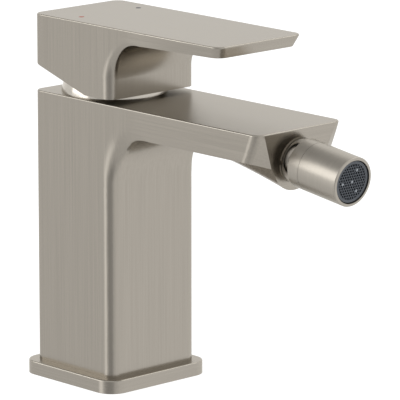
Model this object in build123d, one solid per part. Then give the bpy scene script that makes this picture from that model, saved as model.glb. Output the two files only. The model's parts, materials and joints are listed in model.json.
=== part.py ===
from build123d import *
import math
import os

# Single-lever bidet mixer, in millimetres.
# +X runs out along the spout, +Y to the user's right, +Z up.
# The origin is on the column's axis, in the plane of the basin deck.

# Column, foot and spout, the outside of the body
column_side = 46.0
column_corner = 4.2
body_height = 116.4
spout_thickness = 11.4
spout_reach = 106.0
throat_radius = 22.0
body_edge = 0.5

# Tip of the spout, with the face that carries the swivel
nozzle_pitch = 7.71
face_half_top = 19.3
knee_half = 13.6
knee_drop = 14.4
facet_top_setback = 0.8
facet_low_setback = 7.9
tip_corner = 4.0
keel_radius = 11.9
keel_drop = 13.1
keel_flank = 40.0
belly_power = 1.28

# Square foot plate
plate_margin = 4.1
plate_corner = 7.7
plate_thickness = 5.5
plate_edge = 0.6
plate_hole_radius = 16.5
plate_spigot_height = 5.0
foot_seal_width = 1.0
foot_seal_thickness = 1.1
base_seal_radius = 22.5
base_seal_width = 2.4
base_seal_thickness = 1.8

# Column's hollow foot and the water core in it
foot_cavity_side = 37.0
foot_cavity_corner = 4.0
water_block_height = 18.0
port_offset = 9.5
port_thread_radius = 4.5
port_thread_depth = 12.0
riser_outer_radius = 5.9
riser_bore_radius = 3.2
riser_entry = 6.0
riser_groove_radius = 4.7
riser_groove_height = 2.2
riser_groove_drop = 1.8
core_web_half = 6.5
core_web_height = 24.0
stud_thread_radius = 3.4
stud_thread_depth = 20.0
core_flange_length = 34.0
core_flange_width = 31.0
core_flange_corner = 4.0
core_flange_thickness = 5.0
core_screw_offset = 12.0
core_screw_radius = 2.0
core_screw_depth = 8.0
core_screw_head_radius = 3.5
core_screw_head_height = 3.0
core_screw_socket = 2.5

# Cartridge chamber, top of the column
chamber_drop = 32.4
chamber_radius = 14.2
chamber_height = 24.0
nut_bore_radius = 15.2
inlet_back = 5.0
inlet_side = 5.5
inlet_radius = 2.3
outlet_forward = 6.5
outlet_radius = 2.8
gallery_drop = 5.0
gallery_radius = 2.4
feed_radius = 2.5
duct_centre = 18.6
duct_length = 4.6
duct_width = 10.0
spout_bore_radius = 3.4
spout_bore_drop = 5.8
spout_bore_end = 92.0

# Lever pivot, cartridge and spindle
pivot_rise = 6.0
lift_arm = 9.0
housing_radius = 14.0
housing_wall = 1.2
base_height = 3.4
housing_roof = 2.0
base_gap = 0.6
fixed_disc_radius = 11.5
fixed_disc_thickness = 4.0
moving_disc_radius = 10.0
moving_disc_thickness = 3.5
mixing_length = 12.0
mixing_width = 9.0
mixing_depth = 2.0
disc_rest_offset = 1.7
base_lip = 2.0
driver_radius = 9.6
driver_height = 6.3
driver_slot_depth = 5.0
seal_ring_width = 1.1
seal_ring_height = 1.4
housing_seal_radius = 0.8
neck_outer_radius = 10.6
neck_inner_radius = 9.2
neck_height = 11.0
carrier_flange_radius = 12.3
carrier_flange_thickness = 1.4
carrier_rise = 0.6
carrier_slot_half = 7.2
pin_radius = 1.5
pin_end_gap = 0.4
spindle_side = 8.0
spindle_edge = 0.5
spindle_rise = 27.0
spindle_cheek = 4.6
tip_radius = 2.6
arm_width = 4.0
nut_lip_radius = 11.0
nut_flats = 26.0
nut_height = 11.0
stop_ring_radius = 12.0
stop_ring_height = 2.2
stop_tab_width = 3.0
stop_tab_rise = 1.0

# Domed collar
collar_radius = 21.3
collar_wall = 1.6
collar_height = 9.6
collar_mouth_radius = 14.0
collar_spigot_depth = 1.5

# Lever
lever_height = 29.15
lever_clearance = 1.8
lever_reach = 84.6
lever_corner = 4.3
lever_plate = 5.35
lever_plate_rise = 0.6
lever_undercut = 2.0
lever_draw_in = 1.9
lever_throat_radius = 16.0
lever_edge = 0.5
tail_start = 8.0
tail_rise = 9.6
pocket_gap = 0.45
pocket_clearance = 6.3
boss_radius = 7.5
boss_clearance = 0.5
grub_rise = 4.2
grub_radius = 2.5
grub_length = 10.0
grub_socket = 1.3
grub_socket_depth = 3.0
plug_radius = 3.0
plug_thickness = 2.0
plug_stem_radius = 2.2
plug_stem_length = 3.0
mark_radius = 1.1
mark_depth = 0.6
mark_back = 2.4
mark_side = 15.2

# Swivel joint in the tip, measured along the nozzle's own axis
face_drop = 12.55
ball_depth = 4.0
ball_radius = 6.0
ball_tail = 5.2
neck_radius = 4.2
water_radius = 2.6
liner_thickness = 0.95
liner_back = 1.0
liner_front = 1.2
socket_radius = 9.1
socket_seat_depth = 0.5
ring_proud = 0.4
ring_lip = 0.65
ring_mouth_depth = 1.0
seal_cord_radius = 0.9
seal_seat_radius = 6.8
seal_seat_back = 2.3
seal_seat_front = 4.7
passage_radius = 4.1
passage_length = 6.0
ring_slot_width = 1.6
ring_slot_depth = 0.5

# Nozzle and its aerator
nozzle_radius = 9.8
nozzle_gap = 4.2
nozzle_ring_length = 5.9
nozzle_length = 26.0
nozzle_edge = 0.5
nozzle_seam = 0.12
rear_wall = 3.0
nozzle_cavity_radius = 7.0
sleeve_thread_radius = 8.2
sleeve_thread_length = 4.0
swivel_nut_radius = 6.2
swivel_nut_height = 2.6
neck_seal_thickness = 0.8
neck_thread_step = 0.6
sleeve_bore_radius = 7.2
aerator_bore_radius = 8.6
aerator_bore_depth = 12.0
aerator_radius = 8.2
aerator_recess = 0.5
aerator_wall = 1.1
aerator_length = 9.5
grid_thickness = 1.2
grid_pitch = 1.24
grid_web = 0.26
grid_rings = 5
core_disc_thickness = 2.2
core_jet_radius = 0.55
core_jet_circle = 4.6
core_jets = 10
screen_thickness = 0.8
screen_dome = 1.4
aerator_seal_width = 1.5
aerator_seal_thickness = 1.6

# Clearances and the overrun of a cut
overrun = 1.0
running_gap = 0.05
slide_gap = 0.02
thread_gap = 0.05
slot_gap = 0.2

# Belly's sections along the spout and its points across it, as shares
belly_stations_share = (0.0, 0.16, 0.36, 0.58, 0.8, 1.0)
keel_points_share = (1.0, 0.82, 0.64, 0.48, 0.32, 0.16)

# Rounding of a front corner where it follows the throat: how far along the throat's arc, and how
# far it reaches on the side and into the throat, as shares of the corner's radius
handle_share = 0.5523
throat_blend_shares = (
    (0.0, 1.0, 1.0), (0.1, 1.08, 1.0), (0.25, 1.45, 1.0), (0.4, 1.9, 1.05), (0.55, 2.1, 1.0),
    (0.7, 1.6, 0.65), (0.85, 0.7, 0.25), (0.93, 0.25, 0.1), (1.0, 0.01, 0.01),
)
lever_blend_shares = (
    (0.0, 1.0, 1.0), (0.2, 1.0, 0.86), (0.4, 0.92, 0.62), (0.6, 0.68, 0.42), (0.8, 0.28, 0.18),
    (0.9, 0.12, 0.08), (1.0, 0.01, 0.01),
)

half = column_side / 2
underside = body_height - spout_thickness
belly_start = half + throat_radius
pitch = math.radians(nozzle_pitch)
facet_top_x = spout_reach - facet_top_setback
facet_low_x = spout_reach - facet_low_setback

# Heights, stacked up from the deck
chamber_floor = body_height - chamber_drop
chamber_top = chamber_floor + chamber_height
foot_cavity_top = chamber_floor - water_block_height
housing_foot = chamber_floor + base_gap + base_height
pivot_height = chamber_top + pivot_rise
neck_top = chamber_top + neck_height
collar_top = body_height + collar_height
lever_bottom = body_height + lever_clearance
lever_top = lever_bottom + lever_height
pocket_roof = collar_top + pocket_clearance
boss_bottom = collar_top + boss_clearance
grub_height = pocket_roof + grub_rise


def disc(radius, low, high):
    return Pos(0, 0, low) * Cylinder(radius, high - low, align=(Align.CENTER, Align.CENTER, Align.MIN))


def hole(radius, low, high):
    return disc(radius, low - overrun, high + overrun)


def ring(outer, inner, low, high):
    return disc(outer, low, high) - hole(inner, low, high)


def square(side, corner, low, high):
    return extrude(Pos(0, 0, low) * RectangleRounded(side, side, corner), high - low)


def bar(length, width, low, high):
    return Pos(0, 0, low) * Box(length, width, high - low, align=(Align.CENTER, Align.CENTER, Align.MIN))


def along_x(shape):
    return Rot(0, 90, 0) * shape


def along_y(shape):
    return Rot(-90, 0, 0) * shape


# A vertical section seen from the front, drawn in y and z
def front_plane(x):
    return Plane(origin=(x, 0, 0), x_dir=(0, 1, 0), z_dir=(1, 0, 0))


# Rounding that follows a vertical corner and runs out along the throat under an overhang
def corner_section(along, centre, throat, reach, depth):
    rise = math.pi * (1 - along / 2)
    plane = Plane(
        origin=(centre[0], 0, centre[1]),
        x_dir=(math.cos(rise), 0, math.sin(rise)),
        z_dir=(-math.sin(rise), 0, math.cos(rise)),
    )
    on_side = (throat + reach, -half)
    on_throat = (throat, -half + depth)
    handles = ((throat + reach * (1 - handle_share), -half), (throat, -half + depth * (1 - handle_share)))
    outline = [
        Polyline((throat - overrun, -half + depth), (throat - overrun, -half - overrun),
                 (throat + reach, -half - overrun), on_side),
        Bezier(on_side, *handles, on_throat),
        Line(on_throat, (throat - overrun, -half + depth)),
    ]
    return plane * make_face(outline)


def corner_cutter(centre, throat, radius, foot, blend_shares):
    sections = [
        corner_section(along, centre, throat, radius * reach, radius * depth)
        for along, reach, depth in blend_shares
    ]
    bend = loft(sections)
    post = extrude(sections[0], centre[1] - foot, dir=(0, 0, -1))
    near = bend + post
    return near + mirror(near, about=Plane.XZ)


# Height of the belly's underside across the face of the tip
def keel_height(y):
    flank = math.radians(keel_flank)
    centre = body_height - keel_drop
    tangent_y = keel_radius * math.cos(flank)
    tangent_z = centre - keel_radius * math.sin(flank)
    if y <= tangent_y:
        return centre - math.sqrt(keel_radius ** 2 - y ** 2)
    knee_z = body_height - knee_drop
    return tangent_z + (y - tangent_y) * (knee_z - tangent_z) / (knee_half - tangent_y)


def belly_section(x):
    full_at = spout_reach - keel_drop * math.tan(pitch)
    growth = ((x - belly_start) / (full_at - belly_start)) ** belly_power

    def lowered(height):
        return underside - growth * (underside - height)

    right = [(knee_half * share, lowered(keel_height(knee_half * share))) for share in keel_points_share]
    left = [(-y, z) for y, z in reversed(right)]
    bottom = (0, lowered(keel_height(0)))
    root = underside + body_edge
    outline = [
        Line(left[-1], (-half, underside)),
        Polyline((-half, underside), (-half + body_edge, root), (half - body_edge, root),
                 (half, underside)),
        Line((half, underside), right[0]),
        Spline(*right, bottom, *left),
    ]
    return front_plane(x) * make_face(outline)


def body_outside():
    throat_x = half + throat_radius
    throat_z = underside - throat_radius
    turn = math.sqrt(0.5) * throat_radius
    outline = [
        Polyline((half, throat_z), (half, plate_thickness), (-half, plate_thickness), (-half, body_height),
                 (spout_reach, body_height), (spout_reach, underside), (throat_x, underside)),
        ThreePointArc((throat_x, underside), (throat_x - turn, throat_z + turn), (half, throat_z)),
    ]
    body = extrude(Plane.XZ * make_face(outline), half, both=True)
    rear = body.edges().filter_by(Axis.Z).group_by(Axis.X)[0]
    body = fillet(rear, column_corner)
    throat = (throat_x, throat_z)
    foot = plate_thickness - overrun
    body -= corner_cutter(throat, throat_radius, column_corner, foot, throat_blend_shares)
    stations = [belly_start + (spout_reach - belly_start) * share for share in belly_stations_share]
    return body + loft([belly_section(x) for x in stations])


# Slanted face across the tip, square to the nozzle
def face_x(height):
    return spout_reach - (body_height - height) * math.tan(pitch)


def facet_section(side, height, start, face_half):
    beyond = spout_reach + overrun
    outline = Polyline((start, half), (face_x(height), face_half), (beyond, face_half - overrun),
                       (beyond, half + overrun), (start, half + overrun), close=True)
    section = Pos(0, 0, height) * make_face(outline)
    return section if side > 0 else mirror(section, about=Plane.XZ)


# Facet at each side of the tip, twisted so that it is widest at the underside
def facet_cutter(side):
    low = body_height - knee_drop - overrun
    share = (body_height - low) / knee_drop
    low_half = face_half_top - (face_half_top - knee_half) * share
    top = facet_section(side, body_height, facet_top_x, face_half_top)
    bottom = facet_section(side, low, facet_low_x, low_half)
    return loft([bottom, top], ruled=True) + extrude(top, overrun, dir=(0, 0, 1))


def tip_shaped(body):
    face = Plane(origin=(spout_reach, 0, body_height), z_dir=(math.cos(pitch), 0, -math.sin(pitch)))
    body = split(body, bisect_by=face, keep=Keep.BOTTOM)
    for side in (-1, 1):
        body -= facet_cutter(side)
    return body


def body_dressed(body):
    def leans(edge):
        ends = (edge @ 0, edge @ 1)
        return (
            all(abs(abs(end.Y) - half) < running_gap for end in ends)
            and abs(ends[0].Z - ends[1].Z) > spout_thickness / 2
            and edge.center().X > spout_reach - 2 * facet_low_setback
        )

    body = fillet([edge for edge in body.edges() if leans(edge)], tip_corner)
    rim = [
        edge for edge in body.edges()
        if all(abs((edge @ end).Z - body_height) < running_gap for end in (0, 1))
    ]
    return fillet(rim, body_edge)


# The swivel's own frame: z runs out along the nozzle, zero at the ball's centre
face_centre = Vector(spout_reach - face_drop * math.tan(pitch), 0, body_height - face_drop)
swivel_axis = Vector(math.cos(pitch), 0, -math.sin(pitch))
ball_centre = face_centre - swivel_axis * ball_depth
swivel = Location(Plane(origin=ball_centre, x_dir=(math.sin(pitch), 0, math.cos(pitch)), z_dir=swivel_axis))
seat_radius = ball_radius + running_gap + liner_thickness + running_gap


def socket_cut():
    cut = hole(socket_radius, -socket_seat_depth, ball_depth + overrun)
    cut -= disc(socket_radius + overrun, -socket_seat_depth - overrun * 2, -socket_seat_depth)
    waist = disc(seat_radius, -seal_seat_back, -socket_seat_depth)
    cut += Sphere(seat_radius) & waist
    cut += disc(seal_seat_radius, -seal_seat_front, -seal_seat_back)
    cut += disc(passage_radius, -seal_seat_front - passage_length, -seal_seat_front)
    return swivel * cut


def waterways():
    cut = disc(chamber_radius, chamber_floor, chamber_top)
    cut += hole(nut_bore_radius, chamber_top, body_height)
    cut -= disc(nut_bore_radius + overrun, chamber_top - overrun, chamber_top)
    cut += disc(chamber_radius, chamber_floor, chamber_top)
    gallery = chamber_floor - gallery_drop
    for side in (-1, 1):
        entry = Vector(0, side * port_offset, foot_cavity_top + riser_entry)
        seat = Vector(-inlet_back, side * inlet_side, chamber_floor)
        way = seat - entry
        drill = Plane(origin=entry - way.normalized() * overrun, z_dir=way)
        cut += drill * disc(feed_radius, 0, way.length + overrun * 2)
        cut += Pos(0, side * port_offset, 0) * disc(riser_outer_radius + thread_gap,
                                                    foot_cavity_top - overrun, foot_cavity_top + riser_entry)
    cut += Pos(outlet_forward, 0, 0) * disc(outlet_radius, gallery, chamber_floor + overrun)
    cross = disc(gallery_radius, outlet_forward, duct_centre)
    cut += Pos(0, 0, gallery) * along_x(cross)
    spout_level = body_height - spout_bore_drop
    cut += Pos(duct_centre, 0, 0) * bar(duct_length, duct_width, gallery - gallery_radius, spout_level)
    cut += Pos(0, 0, spout_level) * along_x(disc(spout_bore_radius, duct_centre, spout_bore_end))
    return cut


def screw_places():
    return [(side * core_screw_offset, 0) for side in (-1, 1)]


def body():
    part = body_dressed(tip_shaped(body_outside()))
    part -= waterways()
    part -= socket_cut()
    part -= square(foot_cavity_side, foot_cavity_corner, plate_thickness - overrun, foot_cavity_top)
    seat_side = foot_cavity_side + 2 * foot_seal_width
    seat_top = plate_thickness + foot_seal_thickness
    part -= square(seat_side, foot_cavity_corner, plate_thickness - overrun, seat_top)
    for x, y in screw_places():
        part -= Pos(x, y, 0) * disc(core_screw_radius + slide_gap, foot_cavity_top - overrun,
                                    foot_cavity_top + core_screw_depth + overrun)
    return part


def base_plate():
    side = column_side + 2 * plate_margin
    plate = square(side, plate_corner, 0, plate_thickness)
    plate = fillet(plate.faces().sort_by(Axis.Z)[-1].edges(), plate_edge)
    spigot_side = foot_cavity_side - 2 * running_gap
    plate += square(spigot_side, foot_cavity_corner, 0, plate_thickness + plate_spigot_height)
    plate -= hole(plate_hole_radius, 0, plate_thickness + plate_spigot_height)
    outer = base_seal_radius + base_seal_width / 2
    inner = base_seal_radius - base_seal_width / 2
    return plate - ring(outer, inner, -overrun, base_seal_thickness)


def base_seal():
    outer = base_seal_radius + base_seal_width / 2 - slide_gap
    inner = base_seal_radius - base_seal_width / 2 + slide_gap
    return ring(outer, inner, 0, base_seal_thickness)


def foot_seal():
    outer = foot_cavity_side + 2 * foot_seal_width - 2 * slide_gap
    seal_top = plate_thickness + foot_seal_thickness - slide_gap
    seal = square(outer, foot_cavity_corner, plate_thickness, seal_top)
    inner = foot_cavity_side - 2 * running_gap + 2 * slide_gap
    return seal - square(inner, foot_cavity_corner, 0, body_height)


# Brass core that takes both hoses and the fixing stud
def water_core():
    top = foot_cavity_top + riser_entry - slide_gap
    core = bar(2 * core_web_half, 2 * port_offset, 0, core_web_height)
    under_flange = foot_cavity_top - core_flange_thickness
    flange = RectangleRounded(core_flange_length, core_flange_width, core_flange_corner)
    core += extrude(Pos(0, 0, under_flange) * flange, core_flange_thickness)
    for side in (-1, 1):
        core += Pos(0, side * port_offset, 0) * disc(riser_outer_radius, 0, top)
    for side in (-1, 1):
        riser = hole(riser_bore_radius, 0, top)
        riser += disc(port_thread_radius, -overrun, port_thread_depth)
        groove_top = top - riser_groove_drop
        groove_low = groove_top - riser_groove_height
        riser += ring(riser_outer_radius + overrun, riser_groove_radius, groove_low, groove_top)
        core -= Pos(0, side * port_offset, 0) * riser
    core -= disc(stud_thread_radius, -overrun, stud_thread_depth)
    for x, y in screw_places():
        core -= Pos(x, y, 0) * hole(core_screw_radius + slide_gap, under_flange, foot_cavity_top)
    return core


def riser_seals():
    top = foot_cavity_top + riser_entry - slide_gap - riser_groove_drop
    outer = riser_outer_radius + thread_gap - slide_gap
    low = top - riser_groove_height
    seal = ring(outer, riser_groove_radius + slide_gap, low + slide_gap, top - slide_gap)
    return [Pos(0, side * port_offset, 0) * seal for side in (-1, 1)]


def core_screws():
    under_flange = foot_cavity_top - core_flange_thickness
    head = disc(core_screw_head_radius, under_flange - core_screw_head_height, under_flange)
    hexagon = RegularPolygon(core_screw_socket, 6, major_radius=False)
    socket = extrude(Pos(0, 0, under_flange - core_screw_head_height - overrun) * hexagon,
                     overrun + core_screw_head_height / 2)
    screw = head - socket + disc(core_screw_radius, under_flange, foot_cavity_top + core_screw_depth)
    return [Pos(x, y, 0) * screw for x, y in screw_places()]


# Domed collar over the cartridge nut, a zone of a sphere about the lever's pivot
def collar():
    centre = Pos(0, 0, pivot_height)
    zone = disc(collar_radius, body_height, collar_top)
    dome = (centre * Sphere(collar_radius)) & zone
    room = centre * Sphere(collar_radius - collar_wall)
    room = room & disc(collar_radius, body_height, collar_top - collar_wall)
    inner = nut_bore_radius - collar_wall
    rim_top = body_height + collar_wall
    spigot = ring(nut_bore_radius - thread_gap, inner, body_height - collar_spigot_depth, rim_top)
    base_radius = math.sqrt(collar_radius ** 2 - (body_height - pivot_height) ** 2)
    rim = ring(base_radius - collar_wall / 2, inner, body_height, rim_top)
    return dome - room + rim + spigot - hole(collar_mouth_radius, body_height + 2 * collar_wall, collar_top)


nut_low = chamber_top
nut_top = nut_low + nut_height


def cartridge_nut():
    thread_top = body_height - collar_spigot_depth - slide_gap
    nut = disc(nut_bore_radius - thread_gap, nut_low, thread_top)
    hexagon = RegularPolygon(nut_flats / 2, 6, major_radius=False)
    flats = extrude(Pos(0, 0, thread_top) * hexagon, nut_top - thread_top)
    nut += flats & disc(nut_bore_radius - collar_wall - slide_gap, thread_top, nut_top)
    return nut - hole(nut_lip_radius, nut_low, nut_top)


base_low = chamber_floor + base_gap
disc_floor = housing_foot + base_lip
moving_floor = disc_floor + fixed_disc_thickness
driver_floor = moving_floor + slide_gap + moving_disc_thickness
driver_top = driver_floor + slide_gap + driver_height
tip_height = pivot_height - lift_arm


def base_ways(low, high):
    ways = Pos(outlet_forward, 0, 0) * hole(outlet_radius, low, high)
    for side in (-1, 1):
        ways += Pos(-inlet_back, side * inlet_side, 0) * hole(inlet_radius, low, high)
    return ways


def seal_rings(gap):
    rings = []
    places = [(outlet_forward, 0, outlet_radius)]
    places += [(-inlet_back, side * inlet_side, inlet_radius) for side in (-1, 1)]
    for x, y, bore in places:
        outer = bore + seal_ring_width
        top = chamber_floor + seal_ring_height + gap
        rings.append(Pos(x, y, 0) * ring(outer + gap, bore - gap, chamber_floor, top))
    return rings


def cartridge_base():
    base = disc(housing_radius, base_low, housing_foot)
    base += disc(housing_radius - housing_wall - slide_gap, base_low, disc_floor)
    base -= base_ways(base_low, disc_floor)
    for room in seal_rings(slide_gap):
        base -= room
    return base - ring(housing_radius + overrun, housing_radius - housing_seal_radius,
                       housing_foot - 2 * housing_seal_radius, housing_foot)


def cartridge_inlet_seals():
    return seal_rings(0)


def cartridge_ring_seal():
    low = housing_foot - 2 * housing_seal_radius + slide_gap
    return ring(chamber_radius - slide_gap, housing_radius - housing_seal_radius + slide_gap, low,
                housing_foot - slide_gap)


def fixed_disc():
    return disc(fixed_disc_radius, disc_floor, moving_floor) - base_ways(disc_floor, moving_floor)


def moving_disc():
    low = moving_floor + slide_gap
    plate = disc(moving_disc_radius, low, driver_floor)
    mouth = Pos(0, 0, low - overrun) * SlotOverall(mixing_length, mixing_width)
    pocket = extrude(mouth, overrun + mixing_depth)
    return Pos(-disc_rest_offset, 0, 0) * (plate - pocket)


def disc_driver():
    plate = disc(driver_radius, driver_floor + slide_gap, driver_top)
    slot_length = 2 * (tip_radius + slot_gap)
    slot = Pos(disc_rest_offset, 0, 0) * bar(slot_length, slot_length, driver_top - driver_slot_depth,
                                             driver_top + overrun)
    return Pos(-disc_rest_offset, 0, 0) * (plate - slot)


housing_top = nut_low


def cartridge_housing():
    shell = ring(housing_radius, housing_radius - housing_wall, housing_foot, housing_top)
    shell += ring(housing_radius, neck_inner_radius, housing_top - housing_roof, housing_top)
    shell += ring(neck_outer_radius, neck_inner_radius, housing_top - housing_roof, neck_top)
    return shell


def spindle_carrier():
    flange_top = housing_top - housing_roof - slide_gap
    low = flange_top - carrier_flange_thickness
    sleeve = disc(neck_inner_radius - running_gap, low, neck_top + carrier_rise)
    sleeve += disc(carrier_flange_radius, low, flange_top)
    slot_width = spindle_side + 2 * slot_gap
    sleeve -= bar(2 * carrier_slot_half, slot_width, low - overrun, neck_top + carrier_rise + overrun)
    pin_hole = along_y(disc(pin_radius + slide_gap, -housing_radius, housing_radius))
    return sleeve - Pos(0, 0, pivot_height) * pin_hole


def spindle_pin():
    reach = neck_inner_radius - pin_end_gap
    return Pos(0, 0, pivot_height) * along_y(disc(pin_radius, -reach, reach))


spindle_top = pivot_height + spindle_rise


def spindle():
    shaft = bar(spindle_side, spindle_side, pivot_height - spindle_cheek, spindle_top)
    shaft = chamfer(shaft.edges().filter_by(Axis.Z), spindle_edge)
    cheek = along_y(disc(spindle_cheek, -spindle_side / 2, spindle_side / 2))
    foot = bar(spindle_side, spindle_side, pivot_height - spindle_cheek - overrun, pivot_height)
    cheek &= bar(spindle_side, spindle_side, -spindle_cheek, 0)
    shaft = shaft - foot + Pos(0, 0, pivot_height) * cheek
    shaft += disc(arm_width / 2, tip_height, pivot_height - spindle_cheek / 2)
    shaft += Pos(0, 0, tip_height) * Sphere(tip_radius)
    return shaft - Pos(0, 0, pivot_height) * along_y(disc(pin_radius + running_gap, -half, half))


def temperature_stop_ring():
    stop_top = neck_top + stop_ring_height
    stop = ring(stop_ring_radius, neck_inner_radius + slot_gap, neck_top, stop_top)
    tab = Pos(0, -half, 0) * bar(stop_tab_width, column_side, neck_top, stop_top + stop_tab_rise)
    return stop + (tab & ring(stop_ring_radius, neck_outer_radius, neck_top, stop_top + stop_tab_rise))


def lever_outside():
    throat_x = half + lever_throat_radius
    under = lever_top - lever_plate
    throat_z = under - lever_throat_radius
    turn = math.sqrt(0.5) * lever_throat_radius
    outline = [
        Polyline((half, throat_z), (half, lever_bottom), (tail_start, lever_bottom),
                 (-half, lever_bottom + tail_rise), (-half, lever_top), (throat_x, lever_top),
                 (throat_x, under)),
        ThreePointArc((throat_x, under), (throat_x - turn, throat_z + turn), (half, throat_z)),
    ]
    block = extrude(Plane.XZ * make_face(outline), half, both=True)
    rear = block.edges().filter_by(Axis.Z).group_by(Axis.X)[0]
    block = fillet(rear, lever_corner)
    return block + lever_plate_solid(throat_x, under)


def plate_outline(plane, start, root_half, tip, tip_half):
    turn = lever_corner * (1 - math.sqrt(0.5))
    outline = [
        Polyline((tip, -tip_half + lever_corner), (tip, tip_half - lever_corner)),
        ThreePointArc((tip, tip_half - lever_corner), (tip - turn, tip_half - turn),
                      (tip - lever_corner, tip_half)),
        Line((tip - lever_corner, tip_half), (start, root_half)),
        Line((start, root_half), (start, -root_half)),
        Line((start, -root_half), (tip - lever_corner, -tip_half)),
        ThreePointArc((tip - lever_corner, -tip_half), (tip - turn, -tip_half + turn),
                      (tip, -tip_half + lever_corner)),
    ]
    return plane * make_face(outline)


def lever_plate_solid(start, under):
    length = lever_reach - start
    slope = lever_plate_rise / length
    along = Vector(1, 0, slope).normalized()
    top_plane = Plane(origin=(start, 0, lever_top), x_dir=(1, 0, 0), z_dir=(0, 0, 1))
    low_plane = Plane(origin=(start, 0, under), x_dir=along, z_dir=Vector(-slope, 0, 1))
    top = plate_outline(top_plane, 0, half, length, half)
    low = plate_outline(low_plane, 0, half, length - lever_undercut, half - lever_draw_in)
    return loft([low, top], ruled=True)


def lever():
    part = lever_outside()
    throat = (half + lever_throat_radius, lever_top - lever_plate - lever_throat_radius)
    foot = lever_bottom - overrun
    part -= corner_cutter(throat, lever_throat_radius, lever_corner, foot, lever_blend_shares)
    rim = [
        edge for edge in part.edges()
        if all(abs((edge @ end).Z - lever_top) < running_gap for end in (0, 1))
    ]
    part = fillet(rim, lever_edge)
    centre = Pos(0, 0, pivot_height)
    room = (centre * Sphere(collar_radius + pocket_gap)) & disc(half, lever_bottom - overrun, pocket_roof)
    part -= room - disc(boss_radius, boss_bottom, pocket_roof + overrun)
    socket_side = spindle_side + 2 * running_gap
    part -= bar(socket_side, socket_side, boss_bottom - overrun, spindle_top + slot_gap)
    grub = disc(grub_radius + thread_gap, 0, half - plug_thickness)
    grub += disc(plug_radius + slide_gap, half - plug_thickness, half + overrun)
    part -= Pos(0, 0, grub_height) * Rot(0, -90, 0) * grub
    for side in (-1, 1):
        well = disc(mark_radius, lever_top - mark_depth, lever_top + overrun)
        part -= Pos(-mark_back, side * mark_side, 0) * well
    return part


def lever_screw():
    tip = spindle_side / 2 + slide_gap
    screw = disc(grub_radius, tip, tip + grub_length)
    socket = extrude(Pos(0, 0, tip + grub_length - grub_socket_depth) * RegularPolygon(grub_socket, 6),
                     grub_socket_depth + overrun)
    return Pos(0, 0, grub_height) * Rot(0, -90, 0) * (screw - socket)


def lever_plug():
    low = half - plug_thickness
    plug = disc(plug_radius, low, half) + disc(plug_stem_radius, low - plug_stem_length, low)
    return Pos(0, 0, grub_height) * Rot(0, -90, 0) * plug


def lever_mark(side):
    dot = disc(mark_radius - slide_gap, lever_top - mark_depth, lever_top)
    return Pos(-mark_back, side * mark_side, 0) * dot


# Swivel, all in the swivel's own frame
face_out = ball_depth + ring_proud
neck_end = ball_depth + nozzle_gap + rear_wall + swivel_nut_height
nozzle_rear = ball_depth + nozzle_gap
nozzle_front = nozzle_rear + nozzle_length
seam = nozzle_rear + nozzle_ring_length


def socket_ring():
    body = disc(socket_radius - thread_gap, -socket_seat_depth, face_out)
    body -= Sphere(seat_radius)
    mouth = ball_depth - ring_mouth_depth
    mouth_radius = math.sqrt(seat_radius ** 2 - mouth ** 2)
    lip_radius = socket_radius - ring_lip
    flare = Pos(0, 0, mouth) * Cone(mouth_radius, lip_radius, face_out - mouth,
                                    align=(Align.CENTER, Align.CENTER, Align.MIN))
    body -= flare + disc(mouth_radius, 0, mouth)
    slot = Box(ring_slot_width, 2 * socket_radius, 2 * ring_slot_depth)
    return body - Pos(0, 0, face_out) * slot


def ball_liner():
    shell = Sphere(ball_radius + running_gap + liner_thickness) - Sphere(ball_radius + running_gap)
    return shell & disc(seat_radius, -liner_back, liner_front)


def ball_seal():
    reach = ball_radius + running_gap + seal_cord_radius
    back = seal_seat_front - seal_cord_radius - slide_gap
    return Pos(0, 0, -back) * Torus(math.sqrt(reach ** 2 - back ** 2), seal_cord_radius)


def swivel_ball():
    ball = Sphere(ball_radius) & disc(ball_radius, -ball_tail, ball_radius)
    ball += disc(neck_radius, 0, nozzle_rear - slide_gap)
    ball += disc(neck_radius - neck_thread_step, 0, neck_end)
    return ball - hole(water_radius, -ball_tail, neck_end)


def nozzle_ring():
    shell = disc(nozzle_radius, nozzle_rear, seam)
    shell = chamfer(shell.edges().filter_by(GeomType.CIRCLE).sort_by(Axis.Z)[0], nozzle_edge)
    shell += disc(sleeve_thread_radius, nozzle_rear, seam + sleeve_thread_length)
    shell -= hole(neck_radius - neck_thread_step + running_gap, nozzle_rear, seam)
    front = seam + sleeve_thread_length + overrun
    return shell - disc(nozzle_cavity_radius, nozzle_rear + rear_wall, front)


def neck_seal():
    low = nozzle_rear + rear_wall + slide_gap
    inner = neck_radius - neck_thread_step + slide_gap
    return ring(swivel_nut_radius, inner, low, low + neck_seal_thickness)


def swivel_nut():
    low = nozzle_rear + rear_wall + neck_seal_thickness + 2 * slide_gap
    flats = extrude(Pos(0, 0, low) * RegularPolygon(swivel_nut_radius, 6), neck_end - low)
    return flats - hole(neck_radius - neck_thread_step + slide_gap, low, neck_end)


def nozzle_sleeve():
    shell = disc(nozzle_radius, seam + nozzle_seam, nozzle_front)
    front = shell.edges().filter_by(GeomType.CIRCLE).sort_by(Axis.Z)[-1]
    shell = fillet(front, nozzle_edge)
    shell -= hole(sleeve_bore_radius, seam, nozzle_front)
    shell -= hole(sleeve_thread_radius + thread_gap, seam, seam + sleeve_thread_length)
    return shell - disc(aerator_bore_radius, nozzle_front - aerator_bore_depth, nozzle_front + overrun)


aerator_front = nozzle_front - aerator_recess
aerator_rear = aerator_front - aerator_length
shelf = nozzle_front - aerator_bore_depth


def aerator_seal():
    outer = aerator_bore_radius - slide_gap
    return ring(outer, outer - aerator_seal_width, shelf, shelf + aerator_seal_thickness)


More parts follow.
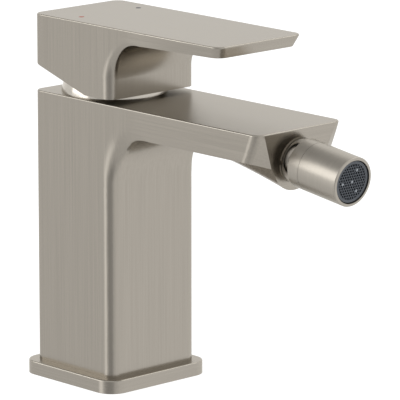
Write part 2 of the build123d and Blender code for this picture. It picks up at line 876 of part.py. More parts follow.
def aerator_housing():
    shell = ring(aerator_radius, aerator_radius - aerator_wall, aerator_rear, aerator_front)
    foot_low = shelf + aerator_seal_thickness
    foot_top = aerator_rear + aerator_wall
    foot = ring(aerator_bore_radius - thread_gap, aerator_radius - aerator_wall, foot_low, foot_top)
    return shell + foot


def grid_places():
    places = []
    for row in range(-grid_rings, grid_rings + 1):
        count = 2 * grid_rings + 1 - abs(row)
        for column in range(count):
            x = (column - (count - 1) / 2) * grid_pitch
            places.append((x, row * grid_pitch * math.sqrt(3) / 2))
    return places


def aerator_grid():
    plate = Circle(aerator_radius - aerator_wall - slide_gap)
    cell = RegularPolygon((grid_pitch - grid_web) / 2, 6, major_radius=False, rotation=30)
    plate -= [Pos(x, y) * cell for x, y in grid_places()]
    low = aerator_front - grid_thickness - slide_gap
    return Pos(0, 0, low) * extrude(plate, grid_thickness)


def aerator_core():
    radius = aerator_radius - aerator_wall - slide_gap
    low = aerator_rear + aerator_wall + core_disc_thickness
    plate = ring(radius, radius - aerator_wall, low, aerator_front - grid_thickness - 2 * slide_gap)
    plate += disc(radius, low, low + core_disc_thickness)
    for index in range(core_jets):
        turn = math.radians(360 / core_jets * index)
        x, y = core_jet_circle * math.cos(turn), core_jet_circle * math.sin(turn)
        plate -= Pos(x, y, 0) * hole(core_jet_radius, low, low + core_disc_thickness)
    return plate


def aerator_screen():
    radius = aerator_radius - aerator_wall - slide_gap
    low = aerator_rear + aerator_wall + core_disc_thickness - slide_gap
    bow = (radius ** 2 + screen_dome ** 2) / (2 * screen_dome)
    outer = Pos(0, 0, low - screen_thickness - screen_dome + bow) * Sphere(bow)
    inner = Pos(0, 0, low - screen_dome + bow) * Sphere(bow)
    space = disc(radius, low - screen_thickness - screen_dome, low)
    return (outer & space) - inner


PIECES = {
    "base_plate": base_plate(),
    "base_seal": base_seal(),
    "foot_seal": foot_seal(),
    "body": body(),
    "water_core": water_core(),
    "riser_seals": riser_seals(),
    "core_screws": core_screws(),
    "collar": collar(),
    "cartridge_nut": cartridge_nut(),
    "cartridge_base": cartridge_base(),
    "cartridge_inlet_seals": cartridge_inlet_seals(),
    "cartridge_ring_seal": cartridge_ring_seal(),
    "cartridge_housing": cartridge_housing(),
    "fixed_disc": fixed_disc(),
    "moving_disc": moving_disc(),
    "disc_driver": disc_driver(),
    "spindle_carrier": spindle_carrier(),
    "spindle_pin": spindle_pin(),
    "spindle": spindle(),
    "temperature_stop_ring": temperature_stop_ring(),
    "lever": lever(),
    "lever_screw": lever_screw(),
    "lever_plug": lever_plug(),
    "hot_mark": lever_mark(-1),
    "cold_mark": lever_mark(1),
    "socket_ring": swivel * socket_ring(),
    "ball_liner": swivel * ball_liner(),
    "ball_seal": swivel * ball_seal(),
    "swivel_ball": swivel * swivel_ball(),
    "nozzle_ring": swivel * nozzle_ring(),
    "neck_seal": swivel * neck_seal(),
    "swivel_nut": swivel * swivel_nut(),
    "nozzle_sleeve": swivel * nozzle_sleeve(),
    "aerator_seal": swivel * aerator_seal(),
    "aerator_housing": swivel * aerator_housing(),
    "aerator_grid": swivel * aerator_grid(),
    "aerator_core": swivel * aerator_core(),
    "aerator_screen": swivel * aerator_screen(),
}

os.makedirs("parts", exist_ok=True)
for name, piece in PIECES.items():
    if isinstance(piece, list):
        piece = Compound(children=piece)
    export_step(piece, f"parts/{name}.step")
    print(name, round(piece.volume))
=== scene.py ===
# %% [markdown]
# This file dresses a bidet mixer. The solids come from the CAD model, already in their places,
# and nothing here moves them. We give each one a finish, model the small things that the CAD
# model leaves plain, and set up a light and a camera like the ones in a product photograph.

# %% Load the mixer
import json
import math

import bmesh
import bpy
from mathutils import Matrix, Vector


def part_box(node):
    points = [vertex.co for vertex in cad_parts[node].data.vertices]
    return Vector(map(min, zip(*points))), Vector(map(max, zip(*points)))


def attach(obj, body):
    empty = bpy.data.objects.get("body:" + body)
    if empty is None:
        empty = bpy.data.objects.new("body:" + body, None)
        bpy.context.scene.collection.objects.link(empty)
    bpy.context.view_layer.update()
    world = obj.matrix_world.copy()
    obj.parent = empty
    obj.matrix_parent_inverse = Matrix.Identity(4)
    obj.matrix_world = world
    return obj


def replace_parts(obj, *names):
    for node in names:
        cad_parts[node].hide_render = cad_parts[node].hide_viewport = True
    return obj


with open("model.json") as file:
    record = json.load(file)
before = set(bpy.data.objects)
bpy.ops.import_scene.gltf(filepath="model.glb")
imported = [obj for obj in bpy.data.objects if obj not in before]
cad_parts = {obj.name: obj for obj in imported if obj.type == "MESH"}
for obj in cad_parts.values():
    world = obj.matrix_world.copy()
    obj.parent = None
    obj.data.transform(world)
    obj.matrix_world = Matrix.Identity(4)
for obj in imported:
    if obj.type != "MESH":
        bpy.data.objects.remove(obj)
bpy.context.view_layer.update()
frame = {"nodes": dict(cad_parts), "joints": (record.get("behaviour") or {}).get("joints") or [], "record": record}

# %% [markdown]
# Blender measures in metres and a tap is drawn in millimetres, so one name turns one into the
# other. The swivel nozzle leans down a little. We could measure its lean on the photograph again,
# but its joint in the record already says where the ball's centre is and which way the nozzle
# points, so we read both from there, and the two models can't come apart.

# %% Sizes read from the model
MM = 0.001
joints = {joint["name"]: joint for joint in frame["joints"]}
ball_centre = Vector(joints["nozzle_spin"]["pos_m"])
nozzle_axis = Vector(joints["nozzle_spin"]["axis"]).normalized()
nozzle_up = Vector(joints["nozzle_swing"]["axis"]).normalized()
nozzle_side = nozzle_up.cross(nozzle_axis).normalized()
print("nozzle leans down by", round(math.degrees(math.asin(-nozzle_axis.z)), 2), "degrees")

# %% [markdown]
# A material in Blender is a tree of nodes. Writing every node in four lines makes a long file,
# so this helper makes a node, sets its options, and then fills its inputs: a plain value is
# typed into the input, and another node's output is wired to it.

# %% A helper for node trees
def add(tree, kind, inputs=None, **options):
    made = tree.nodes.new(kind)
    for name, value in options.items():
        setattr(made, name, value)
    for name, value in (inputs or {}).items():
        if isinstance(value, bpy.types.NodeSocket):
            tree.links.new(value, made.inputs[name])
        else:
            made.inputs[name].default_value = value
    return made


# %% [markdown]
# Most nodes that we need do sums. Two helpers do them, one with numbers and one with vectors, and
# a third makes a vector longer or shorter. A ramp is a soft step: flat below its low value and
# above its high one. The last helper makes an empty material, ready for a finish.

# %% Sums, a soft step, and an empty material
def calculate(tree, operation, first, second=0.0):
    return add(tree, "ShaderNodeMath", {0: first, 1: second}, operation=operation).outputs[0]


def with_vectors(tree, operation, first, second=(0, 0, 0)):
    made = add(tree, "ShaderNodeVectorMath", {0: first, 1: second}, operation=operation)
    return made.outputs["Value" if operation in ("DOT_PRODUCT", "LENGTH") else "Vector"]


def stretched(tree, vector, amount):
    made = add(tree, "ShaderNodeVectorMath", {0: vector, "Scale": amount}, operation="SCALE")
    return made.outputs["Vector"]


def ramp(tree, value, low, high, to_low=0.0, to_high=1.0):
    return add(tree, "ShaderNodeMapRange", {
        "Value": value, "From Min": low, "From Max": high, "To Min": to_low, "To Max": to_high,
    }, interpolation_type="SMOOTHSTEP").outputs["Result"]


def fresh_material(name):
    material = bpy.data.materials.new(name)
    material.use_nodes = True
    tree = material.node_tree
    tree.nodes.clear()
    shader = add(tree, "ShaderNodeBsdfPrincipled")
    output = add(tree, "ShaderNodeOutputMaterial", {"Surface": shader.outputs["BSDF"]})
    output.is_active_output = True
    return material, tree, shader


# %% [markdown]
# Brushed metal is a mirror covered in fine parallel scratches. A photograph of scratches could
# make them, but it would repeat and need unwrapping. A long thin noise makes them anywhere: its
# coordinates run fast across the scratches and slowly along them.

# %% Streaks
streak_width = 0.55 * MM
streak_length = 60 * MM
streak_detail = 5.0
streak_harshness = 0.62


def streaks(tree, across_and_along):
    return add(tree, "ShaderNodeTexNoise", {
        "Vector": across_and_along, "Scale": 1.0, "Detail": streak_detail, "Roughness": streak_harshness,
    }).outputs["Fac"]


print("streaks:", round(streak_width / MM, 2), "mm wide and", round(streak_length / MM), "mm long")

# %% [markdown]
# The same noise moves the colour and the roughness a little, and lifts the surface by about a
# thousandth of a millimetre. Anisotropy then stretches each highlight across the scratches, as a
# real brushed face does. Nickel grows lighter where we look along it, but brushed nickel less so
# than a mirror, and the edge colour holds that back.

# %% What the streaks do to a metal
nickel_colour = (0.375, 0.345, 0.300, 1.0)
nozzle_colour = (0.41, 0.38, 0.333, 1.0)
polished_colour = (0.54, 0.505, 0.45, 1.0)
nickel_edge = (0.80, 0.79, 0.77, 1.0)
streak_low, streak_high = 0.3, 0.7
colour_spread = 0.04
roughness_spread = 0.06
scratch_depth = 0.0012 * MM


def lighter_by(colour, share):
    return [min(channel * (1 + share), 1.0) for channel in colour[:3]] + [1.0]


def mixed_colour(tree, factor, first, second):
    return add(tree, "ShaderNodeMix", {"Factor": factor, 6: first, 7: second}, data_type="RGBA").outputs[2]


def brush(tree, shader, streak, tangent, colour, roughness, anisotropy):
    strength = ramp(tree, streak, streak_low, streak_high)
    dark, light = lighter_by(colour, -colour_spread), lighter_by(colour, colour_spread)
    tree.links.new(mixed_colour(tree, strength, dark, light), shader.inputs["Base Color"])
    uneven = ramp(tree, streak, streak_low, streak_high, 1 - roughness_spread, 1 + roughness_spread)
    tree.links.new(calculate(tree, "MULTIPLY", uneven, roughness), shader.inputs["Roughness"])
    grooves = add(tree, "ShaderNodeBump", {"Strength": 1.0, "Distance": scratch_depth, "Height": streak})
    tree.links.new(grooves.outputs["Normal"], shader.inputs["Normal"])
    in_the_room = add(tree, "ShaderNodeVectorTransform", {"Vector": tangent},
                      vector_type="VECTOR", convert_from="OBJECT", convert_to="WORLD")
    tree.links.new(in_the_room.outputs["Vector"], shader.inputs["Tangent"])
    shader.inputs["Metallic"].default_value = 1.0
    shader.inputs["Specular Tint"].default_value = nickel_edge
    shader.inputs["Anisotropic"].default_value = anisotropy


# %% [markdown]
# The column is brushed upright and the spout lengthwise, and the two meet round the throat. The
# lever is the same, only smaller. Two materials with a border would show a seam, so one material
# has a soft switch: below and behind the throat the scratches run up and down, beyond it they run
# along the spout, and a face that looks up or down always has them lengthwise. The spout's end
# and the lever's end are brushed from side to side. A level top is a little softer than a side.

# %% Straight brushed nickel
straight_roughness = 0.24
straight_anisotropy = 0.4
top_softness = 1.35
flat_from, flat_full = 0.7, 0.9
end_from, end_full = 0.6, 0.8
level_from, level_full = 0.97, 0.99


def brushing_choice(tree, place, normal, throat_x, throat_turn):
    along_x = add(tree, "ShaderNodeSeparateXYZ", {0: place}).outputs["X"]
    past_throat = ramp(tree, along_x, throat_x - throat_turn, throat_x)
    facing = add(tree, "ShaderNodeSeparateXYZ", {0: normal}).outputs
    flat_face = ramp(tree, calculate(tree, "ABSOLUTE", facing["Z"]), flat_from, flat_full)
    end_face = ramp(tree, calculate(tree, "ABSOLUTE", facing["X"]), end_from, end_full)
    lengthwise = calculate(tree, "MAXIMUM", past_throat, flat_face)
    sideways = calculate(tree, "MULTIPLY", lengthwise, end_face)
    soft_top = straight_roughness * top_softness
    roughness = ramp(tree, facing["Z"], level_from, level_full, straight_roughness, soft_top)
    return lengthwise, sideways, roughness


def straight_brushed(name, throat_x, throat_turn):
    material, tree, shader = fresh_material(name)
    here = add(tree, "ShaderNodeTexCoord")
    place, normal = here.outputs["Object"], here.outputs["Normal"]
    lengthwise, sideways, roughness = brushing_choice(tree, place, normal, throat_x, throat_turn)
    fast, slow = 1 / streak_width, 1 / streak_length
    along_x, along_y, along_z = (
        streaks(tree, with_vectors(tree, "MULTIPLY", place, speeds))
        for speeds in ((slow, fast, fast), (fast, slow, fast), (fast, fast, slow))
    )
    side_streak = add(tree, "ShaderNodeMix", {"Factor": lengthwise, 2: along_z, 3: along_x}).outputs[0]
    streak = add(tree, "ShaderNodeMix", {"Factor": sideways, 2: side_streak, 3: along_y}).outputs[0]
    side_groove = add(tree, "ShaderNodeMix", {"Factor": lengthwise, 4: (0, 0, 1), 5: (1, 0, 0)},
                      data_type="VECTOR").outputs[1]
    groove = add(tree, "ShaderNodeMix", {"Factor": sideways, 4: side_groove, 5: (0, 1, 0)},
                 data_type="VECTOR").outputs[1]
    tangent = with_vectors(tree, "CROSS_PRODUCT", normal, groove)
    brush(tree, shader, streak, tangent, nickel_colour, roughness, straight_anisotropy)
    return material


# %% [markdown]
# The column, the lever and the foot share one slot in the record, but each is brushed round a
# throat in another place. One material with a switch for each would be long, so each of them has
# a material of its own. The spout's throat is wider than the lever's. The foot has none, and is
# brushed lengthwise.

# %% Column, lever and foot
column_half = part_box("body")[1].y
spout_throat = 22 * MM
lever_throat = 16 * MM
finish_of_node = {
    "body": straight_brushed("body_nickel", column_half + spout_throat, spout_throat),
    "lever": straight_brushed("lever_nickel", column_half + lever_throat, lever_throat),
    "base_plate": straight_brushed("foot_nickel", -column_half, lever_throat),
}
print("brushed straight:", ", ".join(finish_of_node))

# %% [markdown]
# Round pieces are finished on a lathe, so their scratches are circles. A picture of rings could
# be wrapped round each piece, but the distance along the axis and outwards from it gives them
# without one: the noise runs fast along both, and barely changes on the way round. The highlight
# is stretched along the axis, and a turned tube shows it as one clear bright line.

# %% Turned nickel
ring_width = 0.7 * MM
ring_drift = 14 * MM
drift_direction = (0.3, 1.0, 0.6)
turned_anisotropy = 0.3


def turned(name, centre, axis, colour, roughness):
    material, tree, shader = fresh_material(name)
    place = add(tree, "ShaderNodeTexCoord").outputs["Object"]
    from_centre = with_vectors(tree, "SUBTRACT", place, tuple(centre))
    along = with_vectors(tree, "DOT_PRODUCT", from_centre, tuple(axis))
    outwards = with_vectors(tree, "SUBTRACT", from_centre, stretched(tree, tuple(axis), along))
    radius = with_vectors(tree, "LENGTH", outwards)
    around = with_vectors(tree, "DOT_PRODUCT", outwards, drift_direction)
    rings = add(tree, "ShaderNodeCombineXYZ", {
        "X": calculate(tree, "MULTIPLY", along, 1 / ring_width),
        "Y": calculate(tree, "MULTIPLY", radius, 1 / ring_width),
        "Z": calculate(tree, "MULTIPLY", around, 1 / ring_drift),
    }).outputs["Vector"]
    brush(tree, shader, streaks(tree, rings), tuple(axis), colour, roughness, turned_anisotropy)
    return material


# %% [markdown]
# The collar is a dome round the upright axis, and the nozzle's rings lie round its own leaning
# axis. They could all share one material if they shared an axis. The collar is polished more than
# the rest of the mixer and the nozzle less, so its highlight is small and theirs is wide.

# %% Collar and nozzle
up = Vector((0, 0, 1))
collar_centre = (0, 0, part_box("collar")[0].z)
collar_roughness = 0.16
roughness_of_ring = {"nozzle_ring": 0.36, "nozzle_sleeve": 0.36, "socket_ring": 0.30}

finish_of_node["collar"] = turned("collar_nickel", collar_centre, up, polished_colour, collar_roughness)
for node, roughness in roughness_of_ring.items():
    finish_of_node[node] = turned(node + "_nickel", ball_centre, nozzle_axis, nozzle_colour, roughness)
print("turned:", "collar,", ", ".join(roughness_of_ring))

# %% [markdown]
# Most of the inner pieces never show, but they are real pieces, and someone may take the mixer
# apart on screen. One flat colour each would do for a diagram. Cast and moulded stuff is never
# quite even, though, so one function makes them all with a base colour that drifts a little, and
# a fine grain in the bump.

# %% Plain cast, moulded and ground finishes
cloud_size = 6 * MM
grain_size = 0.4 * MM
grain_low, grain_high = 0.2, 0.8
colour_drift = 0.08
roughness_drift = 0.15
cast_lift = 0.006 * MM
smooth_lift = 0.001 * MM


def plain(name, colour, roughness, metallic=0.0, lift=cast_lift, sheen=0.5):
    material, tree, shader = fresh_material(name)
    place = add(tree, "ShaderNodeTexCoord").outputs["Object"]
    cloudy = add(tree, "ShaderNodeTexNoise", {"Vector": place, "Scale": 1 / cloud_size, "Detail": 3.0})
    darker, lighter = lighter_by(colour, -colour_drift), lighter_by(colour, colour_drift)
    tint = mixed_colour(tree, cloudy.outputs["Fac"], darker, lighter)
    tree.links.new(tint, shader.inputs["Base Color"])
    fine = add(tree, "ShaderNodeTexNoise", {"Vector": place, "Scale": 1 / grain_size, "Detail": 4.0})
    smoother, rougher = roughness * (1 - roughness_drift), min(roughness * (1 + roughness_drift), 1.0)
    uneven = ramp(tree, fine.outputs["Fac"], grain_low, grain_high, smoother, rougher)
    tree.links.new(uneven, shader.inputs["Roughness"])
    bump = add(tree, "ShaderNodeBump", {"Strength": 1.0, "Distance": lift, "Height": fine.outputs["Fac"]})
    tree.links.new(bump.outputs["Normal"], shader.inputs["Normal"])
    shader.inputs["Metallic"].default_value = metallic
    shader.inputs["Specular IOR Level"].default_value = sheen
    return material


# %% [markdown]
# The record sorts all the pieces into slots: brass, steel, ceramic, plastics, rubber, and the
# enamel of the red and blue marks. The marks are nearly matt. A shiny mark would only show the
# bright wall behind the mixer, and its colour would be lost. The two slots of nickel take the
# finish of a piece that has one already.

# %% Finishes of the slots
finish_of_slot = {
    "nickel_plug": plain("plug_plastic", (0.42, 0.39, 0.35), 0.35),
    "raw_brass": plain("machined_brass", (0.70, 0.50, 0.22), 0.28, metallic=1.0),
    "stainless": plain("plain_steel", (0.58, 0.58, 0.59), 0.30, metallic=1.0),
    "disc_ceramic": plain("ground_ceramic", (0.86, 0.84, 0.78), 0.18, lift=smooth_lift),
    "cartridge_white": plain("white_acetal", (0.78, 0.78, 0.75), 0.42),
    "cartridge_grey": plain("grey_nylon", (0.22, 0.23, 0.25), 0.5),
    "stop_red": plain("red_nylon", (0.55, 0.05, 0.04), 0.45),
    "seal_rubber": plain("black_rubber", (0.025, 0.025, 0.026), 0.62),
    "liner_ptfe": plain("white_ptfe", (0.84, 0.84, 0.82), 0.5),
    "aerator_dark": plain("aerator_plastic", (0.075, 0.085, 0.10), 0.38),
    "mark_red": plain("red_enamel", (0.45, 0.10, 0.07), 0.6, lift=smooth_lift, sheen=0.1),
    "mark_blue": plain("blue_enamel", (0.02, 0.025, 0.05), 0.6, lift=smooth_lift, sheen=0.1),
    "turned_nickel": finish_of_node["socket_ring"],
    "satin_nickel": finish_of_node["base_plate"],
}
print("slots with a finish:", len(finish_of_slot))

# %% [markdown]
# Now each solid takes its finish. We could go through them by hand, but the record knows the slot
# of each, so a loop does it: a piece with a finish of its own takes that, and any other takes the
# one of its slot. Only the material changes, and the solid's shape stays as the CAD model has it.

# %% Each solid takes its finish
slot_of = {part["node"]: part["material_slot"] for part in frame["record"]["subparts"]}
for name, solid in frame["nodes"].items():
    finish = finish_of_node.get(name, finish_of_slot[slot_of[name]])
    solid.data.materials.clear()
    solid.data.materials.append(finish)
print("solids with a finish:", len(frame["nodes"]))

# %% [markdown]
# The aerator's mouth is a honeycomb that you can see through. We could draw one cell and copy it
# many times, but the thin walls would be doubled. Geometry Nodes make it from a rule instead: a
# grid leaned over by half a cell and cut into triangles has a twin, its dual mesh, that is all
# hexagons, and neighbours share their sides.

# %% A field of hexagons
points_across = 21


def hexagons(tree, pitch):
    row = calculate(tree, "MULTIPLY", pitch, math.sqrt(3) / 2)
    flat = add(tree, "GeometryNodeMeshGrid", {
        "Size X": calculate(tree, "MULTIPLY", pitch, points_across - 1.0),
        "Size Y": calculate(tree, "MULTIPLY", row, points_across - 1.0),
        "Vertices X": points_across, "Vertices Y": points_across,
    }).outputs["Mesh"]
    place = add(tree, "GeometryNodeInputPosition").outputs[0]
    rows_up = add(tree, "ShaderNodeSeparateXYZ", {0: place}).outputs["Y"]
    half_a_cell = calculate(tree, "MULTIPLY", rows_up, 1 / math.sqrt(3))
    lean = add(tree, "ShaderNodeCombineXYZ", {"X": half_a_cell}).outputs[0]
    leaned = add(tree, "GeometryNodeSetPosition", {"Geometry": flat, "Offset": lean}).outputs[0]
    cut = add(tree, "GeometryNodeTriangulate", {"Mesh": leaned}, quad_method="SHORTEST_DIAGONAL")
    return add(tree, "GeometryNodeDualMesh", {"Mesh": cut.outputs[0]}).outputs[0]


# %% [markdown]
# Each hexagon is drawn in to leave a thin web, and the middles are taken out. Hexagons past the
# rim go first, and the corners that still stick out are pulled back to the circle, so the web
# ends in a clean round edge.

# %% A thin web with a round edge
rim_share = 0.35
least_radius = 0.1 * MM
merge_gap = 0.01 * MM


def round_web(tree, cells, sizes):
    place = add(tree, "GeometryNodeInputPosition").outputs[0]
    middle = with_vectors(tree, "LENGTH", place)
    limit = calculate(tree, "ADD", sizes["Radius"], calculate(tree, "MULTIPLY", sizes["Pitch"], rim_share))
    outside = add(tree, "FunctionNodeCompare", {"A": middle, "B": limit}, operation="GREATER_THAN")
    kept = add(tree, "GeometryNodeDeleteGeometry", {"Geometry": cells, "Selection": outside.outputs[0]},
               domain="FACE").outputs[0]
    drawn = add(tree, "GeometryNodeExtrudeMesh", {"Mesh": kept, "Offset Scale": 0.0, "Individual": True})
    share = calculate(tree, "SUBTRACT", 1.0, calculate(tree, "DIVIDE", sizes["Web"], sizes["Pitch"]))
    inset = add(tree, "GeometryNodeScaleElements", {
        "Geometry": drawn.outputs["Mesh"], "Selection": drawn.outputs["Top"], "Scale": share,
    }).outputs[0]
    web = add(tree, "GeometryNodeDeleteGeometry", {"Geometry": inset, "Selection": drawn.outputs["Top"]},
              domain="FACE", mode="ONLY_FACE").outputs[0]
    from_middle = calculate(tree, "MAXIMUM", middle, least_radius)
    pull = calculate(tree, "MINIMUM", 1.0, calculate(tree, "DIVIDE", sizes["Radius"], from_middle))
    on_circle = stretched(tree, place, pull)
    clean_rim = add(tree, "GeometryNodeSetPosition", {"Geometry": web, "Position": on_circle}).outputs[0]
    merged = add(tree, "GeometryNodeMergeByDistance", {"Geometry": clean_rim, "Distance": merge_gap})
    return merged.outputs[0]


# %% [markdown]
# A web without thickness vanishes from the side, so it is pressed into a solid: one copy is
# raised, one is turned over to close the back, and the two are joined. The whole tree then runs
# hexagons, web, solid, and sets the plastic as its material.

# %% Pressed into a solid, and the whole tree
join_gap = 0.005 * MM


def pressed(tree, web, depth):
    raised = add(tree, "GeometryNodeExtrudeMesh", {
        "Mesh": web, "Offset": (0, 0, 1), "Offset Scale": depth, "Individual": False,
    }).outputs["Mesh"]
    under = add(tree, "GeometryNodeFlipFaces", {"Mesh": web}).outputs[0]
    both = add(tree, "GeometryNodeJoinGeometry")
    for part in (raised, under):
        tree.links.new(part, both.inputs[0])
    joined = add(tree, "GeometryNodeMergeByDistance", {"Geometry": both.outputs[0], "Distance": join_gap})
    return joined.outputs[0]


def honeycomb_tree(finish, sizes):
    tree = bpy.data.node_groups.new("honeycomb", "GeometryNodeTree")
    for name, value in sizes.items():
        socket = tree.interface.new_socket(name, in_out="INPUT", socket_type="NodeSocketFloat")
        socket.default_value = value
    tree.interface.new_socket("Geometry", in_out="OUTPUT", socket_type="NodeSocketGeometry")
    given = add(tree, "NodeGroupInput").outputs
    solid = pressed(tree, round_web(tree, hexagons(tree, given["Pitch"]), given), given["Depth"])
    real = add(tree, "GeometryNodeRealizeInstances", {"Geometry": solid}).outputs[0]
    dressed = add(tree, "GeometryNodeSetMaterial", {"Geometry": real, "Material": finish}).outputs[0]
    add(tree, "NodeGroupOutput", {"Geometry": dressed})
    return tree


# %% [markdown]
# A node tree only shows its mesh through a modifier. We hang it on an empty mesh, set its named
# inputs, and then take the finished mesh and let the modifier go, so that what is kept is plain
# geometry that any other program can open. Every piece that we model is shown in the same way: it
# rides on one of the mixer's bodies.

# %% Turn a tree into a mesh, and show a piece
def made_by(tree, name, sizes):
    holder = bpy.data.objects.new(name + "_holder", bpy.data.meshes.new(name + "_holder"))
    bpy.context.scene.collection.objects.link(holder)
    modifier = holder.modifiers.new("tree", "NODES")
    modifier.node_group = tree
    sockets = {item.name: item.identifier for item in tree.interface.items_tree if item.in_out == "INPUT"}
    for size, value in sizes.items():
        modifier[sockets[size]] = value
    bpy.context.view_layer.update()
    ready = holder.evaluated_get(bpy.context.evaluated_depsgraph_get())
    mesh = bpy.data.meshes.new_from_object(ready)
    mesh.name = name
    bpy.data.objects.remove(holder)
    return mesh


def show(mesh, name, body):
    piece = bpy.data.objects.new(name, mesh)
    bpy.context.scene.collection.objects.link(piece)
    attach(piece, body)
    print(name, "faces:", len(mesh.polygons))
    return piece


# %% [markdown]
# The nozzle leans, so a piece drawn flat has to be laid in its mouth. This matrix does that: the
# piece's own x runs sideways across the mouth, y runs up it, and z points out with the water.
# The mouth is as far out as the sleeve's farthest point, and the honeycomb lies half a
# millimetre inside it. It takes the place of the CAD model's own mesh disc.

# %% Lay the honeycomb in the nozzle's mouth
def laid_in_nozzle(distance):
    turn = Matrix((nozzle_side, nozzle_up, nozzle_axis)).transposed().to_4x4()
    return Matrix.Translation(ball_centre + nozzle_axis * distance) @ turn


sleeve_points = frame["nodes"]["nozzle_sleeve"].data.vertices
mouth = max((point.co - ball_centre).dot(nozzle_axis) for point in sleeve_points)
mesh_recess = 0.5 * MM
grid_front = mouth - mesh_recess
print("mouth of the nozzle:", round(mouth / MM, 2), "mm from the ball's centre")

honeycomb_sizes = {"Pitch": 1.24 * MM, "Web": 0.30 * MM, "Radius": 7.05 * MM, "Depth": 1.2 * MM}
honeycomb_rule = honeycomb_tree(finish_of_slot["aerator_dark"], honeycomb_sizes)
honeycomb = made_by(honeycomb_rule, "aerator_honeycomb", honeycomb_sizes)
honeycomb.transform(laid_in_nozzle(grid_front - honeycomb_sizes["Depth"]))
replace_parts(show(honeycomb, "aerator_honeycomb", "nozzle"), "aerator_grid")

# %% [markdown]
# Four little posts hold the honeycomb off the screens behind it, one in the middle and three
# round it, and their heads are the four pale dots in the mouth. A cylinder with a bevel would do,
# but a profile of four points shows at a glance how long a post is and how its head is rounded.

# %% One post, turned from a profile
post_radius = 0.62 * MM
post_sides = 20
post_length = 2.6 * MM
post_shoulder = 0.25 * MM
post_dome = 0.12 * MM
post_profile = (
    (post_radius, -post_length),
    (post_radius, -post_shoulder),
    (post_radius * 0.8, 0.0),
    (post_radius * 0.4, post_dome),
)


def towards(angle):
    return Vector((math.cos(angle), math.sin(angle), 0))


def turn_post(shape, place):
    rings = []
    for radius, height in post_profile:
        foot = place + Vector((0, 0, height))
        around = (math.tau * index / post_sides for index in range(post_sides))
        rings.append([shape.verts.new(foot + towards(angle) * radius) for angle in around])
    for low, high in zip(rings, rings[1:]):
        for index in range(post_sides):
            after = (index + 1) % post_sides
            shape.faces.new((low[index], low[after], high[after], high[index]))
    shape.faces.new(rings[-1])
    shape.faces.new(list(reversed(rings[0])))


# %% [markdown]
# The three outer posts stand a third of a turn apart, and the first one is turned from the
# nozzle's side by the angle that the photograph shows. All four go into one mesh, because they
# are moulded as one piece.

# %% The four posts
post_circle = 4.9 * MM
first_post_angle = 65
post_shape = bmesh.new()
turn_post(post_shape, Vector((0, 0, 0)))
for index in range(3):
    angle = math.radians(first_post_angle + index * 120)
    turn_post(post_shape, towards(angle) * post_circle)
bmesh.ops.recalc_face_normals(post_shape, faces=post_shape.faces)
posts = bpy.data.meshes.new("aerator_posts")
post_shape.to_mesh(posts)
post_shape.free()
posts.materials.append(plain("post_plastic", (0.36, 0.39, 0.42), 0.35))
posts.transform(laid_in_nozzle(grid_front))
show(posts, "aerator_posts", "nozzle")

# %% [markdown]
# The mixer stands on a plain white sheet. A lamp could make it white, but it would bleach the
# metal too, so the sheet glows a little when the camera looks at it. It comes out white and still
# darkens where the mixer keeps light from it.

# %% Floor
floor_reach = 3.0
floor_drop = 0.05 * MM
corners = ((-1, -1), (1, -1), (1, 1), (-1, 1))
floor_mesh = bpy.data.meshes.new("floor")
floor_points = [(x * floor_reach, y * floor_reach, -floor_drop) for x, y in corners]
floor_mesh.from_pydata(floor_points, [], [(0, 1, 2, 3)])
floor = bpy.data.objects.new("floor", floor_mesh)
bpy.context.scene.collection.objects.link(floor)
print("floor:", round(2 * floor_reach), "m wide")

# %% [markdown]
# To a mirror ray the sheet is clear, so the metal shows the same white background below the
# horizon as it does above. It is clear from below too, so that the foot can be looked at, and it
# lies a hair under the foot, so that the two don't mix.

# %% The white sheet
sheet_glow = 0.86
sheet_grey = (0.35, 0.35, 0.35, 1)
white_light = (1, 1, 1, 1)

floor_material = bpy.data.materials.new("white_sheet")
floor_material.use_nodes = True
floor_tree = floor_material.node_tree
floor_tree.nodes.clear()
ray = add(floor_tree, "ShaderNodeLightPath").outputs
paper = add(floor_tree, "ShaderNodeBsdfDiffuse", {"Color": sheet_grey}).outputs[0]
glow = add(floor_tree, "ShaderNodeEmission", {"Color": white_light, "Strength": sheet_glow}).outputs[0]
seen = add(floor_tree, "ShaderNodeAddShader", {0: paper, 1: glow}).outputs[0]
looked_at = calculate(floor_tree, "MAXIMUM", ray["Is Camera Ray"], ray["Is Transmission Ray"])
plain_paper = add(floor_tree, "ShaderNodeBsdfDiffuse").outputs[0]
sheet = add(floor_tree, "ShaderNodeMixShader", {"Fac": looked_at, 1: plain_paper, 2: seen}).outputs[0]
clear = add(floor_tree, "ShaderNodeBsdfTransparent").outputs[0]
from_below = add(floor_tree, "ShaderNodeNewGeometry").outputs["Backfacing"]
unseen = calculate(floor_tree, "MAXIMUM", ray["Is Glossy Ray"], from_below)
whole = add(floor_tree, "ShaderNodeMixShader", {"Fac": unseen, 1: sheet, 2: clear})
add(floor_tree, "ShaderNodeOutputMaterial", {"Surface": whole.outputs[0]})
floor_mesh.materials.append(floor_material)
print("sheet's glow:", sheet_glow)

# %% [markdown]
# A shiny thing looks like what is around it. The camera and the metal both see a white background.
# In the photograph it isn't an even one: the tops are light because they show a bright wall behind
# the mixer, and the rounded corner has a dark line where it shows the dim side of the room. Cards
# and flags round the mixer could do this, but they would shade it in other views. So mirror rays
# also see a few brighter and dimmer places, painted by direction. Each line below says where its
# place is, as azimuth and elevation, how far from its middle it is even and how far it reaches,
# all in degrees, and how much brighter than the background it is, or dimmer.

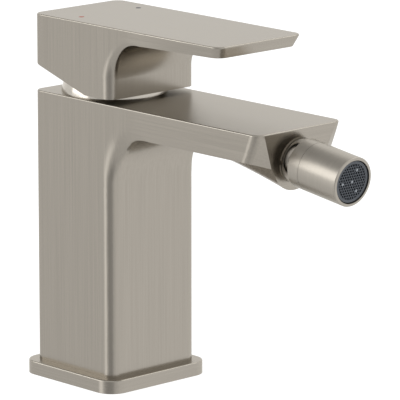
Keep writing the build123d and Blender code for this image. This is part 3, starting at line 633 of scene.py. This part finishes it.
# %% Places in the studio that the metal sees
places = {
    "dim side with the camera": (317, -10, 60, 150, -0.18),
    "bright wall behind": (137, 10, 15, 55, 0.32),
    "light floor on the right": (43, -14, 20, 70, 0.21),
    "dark gap beside the camera": (303, -12, 14, 34, -0.32),
    "bright card on the left": (248, -12, 4, 19, 0.74),
    "dim ceiling on the left": (188, 52, 10, 40, -0.47),
}


def direction(azimuth, elevation):
    turn, lift = math.radians(azimuth), math.radians(elevation)
    return (math.cos(turn) * math.cos(lift), math.sin(turn) * math.cos(lift), math.sin(lift))


def patch(tree, look, azimuth, elevation, inner, outer, amount):
    near = with_vectors(tree, "DOT_PRODUCT", look, direction(azimuth, elevation))
    return ramp(tree, near, math.cos(math.radians(outer)), math.cos(math.radians(inner)), 0.0, amount)


print("uneven places:", ", ".join(places))

# %% [markdown]
# The world is white with strength 1 for the rays of the camera, of mirrors and of glass, and the
# places are added for mirror rays only. All other rays find a soft fill light, a little under
# full strength, because the two soft boxes add the rest.

# %% The world
fill_strength = 0.8
world = bpy.data.worlds.new("studio")
world.use_nodes = True
bpy.context.scene.world = world
sky = world.node_tree
sky.nodes.clear()
look = add(sky, "ShaderNodeTexCoord").outputs["Generated"]
unevenness = 0.0
for place in places.values():
    unevenness = calculate(sky, "ADD", patch(sky, look, *place), unevenness)
ray = add(sky, "ShaderNodeLightPath").outputs
mirrored = calculate(sky, "MULTIPLY", unevenness, ray["Is Glossy Ray"])
level = calculate(sky, "ADD", mirrored, 1.0)
white = add(sky, "ShaderNodeBackground", {"Color": white_light, "Strength": level}).outputs[0]
fill = add(sky, "ShaderNodeBackground", {"Color": white_light, "Strength": fill_strength}).outputs[0]
through = calculate(sky, "MAXIMUM", ray["Is Camera Ray"], ray["Is Transmission Ray"])
reached = calculate(sky, "MAXIMUM", through, ray["Is Glossy Ray"])
shown = add(sky, "ShaderNodeMixShader", {"Fac": reached, 1: fill, 2: white}).outputs[0]
add(sky, "ShaderNodeOutputWorld", {"Surface": shown})
print("fill light:", fill_strength)

# %% [markdown]
# Two soft boxes light the mixer, as in a studio: a wide one on the left, which draws the light
# lines along the edges, the collar and the nozzle, and a weak one high on the right that opens
# the shadows. A lamp with a small face would draw hard lines on the nickel, so both are large.

# %% Soft boxes
lit_point = Vector((0.04, 0, 0.08))


def soft_box(name, azimuth, elevation, distance, width, height, power):
    light = bpy.data.lights.new(name, "AREA")
    light.shape = "RECTANGLE"
    light.size, light.size_y = width, height
    light.energy = power
    lamp = bpy.data.objects.new(name, light)
    bpy.context.scene.collection.objects.link(lamp)
    away = Vector(direction(azimuth, elevation))
    lamp.location = lit_point + away * distance
    lamp.rotation_euler = (-away).to_track_quat("-Z", "Y").to_euler()
    print(name, power, "W")


soft_box("left_box", azimuth=235, elevation=18, distance=1.3, width=1.08, height=0.70, power=4.1)
soft_box("right_box", azimuth=60, elevation=45, distance=1.5, width=0.8, height=0.6, power=1.9)

# %% [markdown]
# The photograph was taken from a little above, with a long lens, so the edges run nearly
# parallel. A camera moved by eye never quite fits, so its place and lens were found by matching
# the mixer's own corners to the photograph. A camera looks along its own -Z, with its own Y up.

# %% Camera
camera_azimuth = 46.856
camera_height = 12.534
camera_distance = 1.6033
camera_target = Vector((0.0512, -0.0012, 0.0797))
focal_pixels = 4089.4
frame_pixels = 400
sensor_width = 36.0

turn, lift = math.radians(camera_azimuth), math.radians(camera_height)
back = Vector((math.sin(turn) * math.cos(lift), -math.cos(turn) * math.cos(lift), math.sin(lift)))
lens = bpy.data.cameras.new("camera")
lens.sensor_width = sensor_width
lens.lens = focal_pixels / frame_pixels * sensor_width
lens.clip_start, lens.clip_end = 0.05, 30.0
camera = bpy.data.objects.new("camera", lens)
bpy.context.scene.collection.objects.link(camera)
camera.location = camera_target + back * camera_distance
camera.rotation_euler = (-back).to_track_quat("-Z", "Y").to_euler()
bpy.context.scene.camera = camera
bpy.context.scene.view_settings.view_transform = "Standard"
print("lens:", round(lens.lens), "mm")
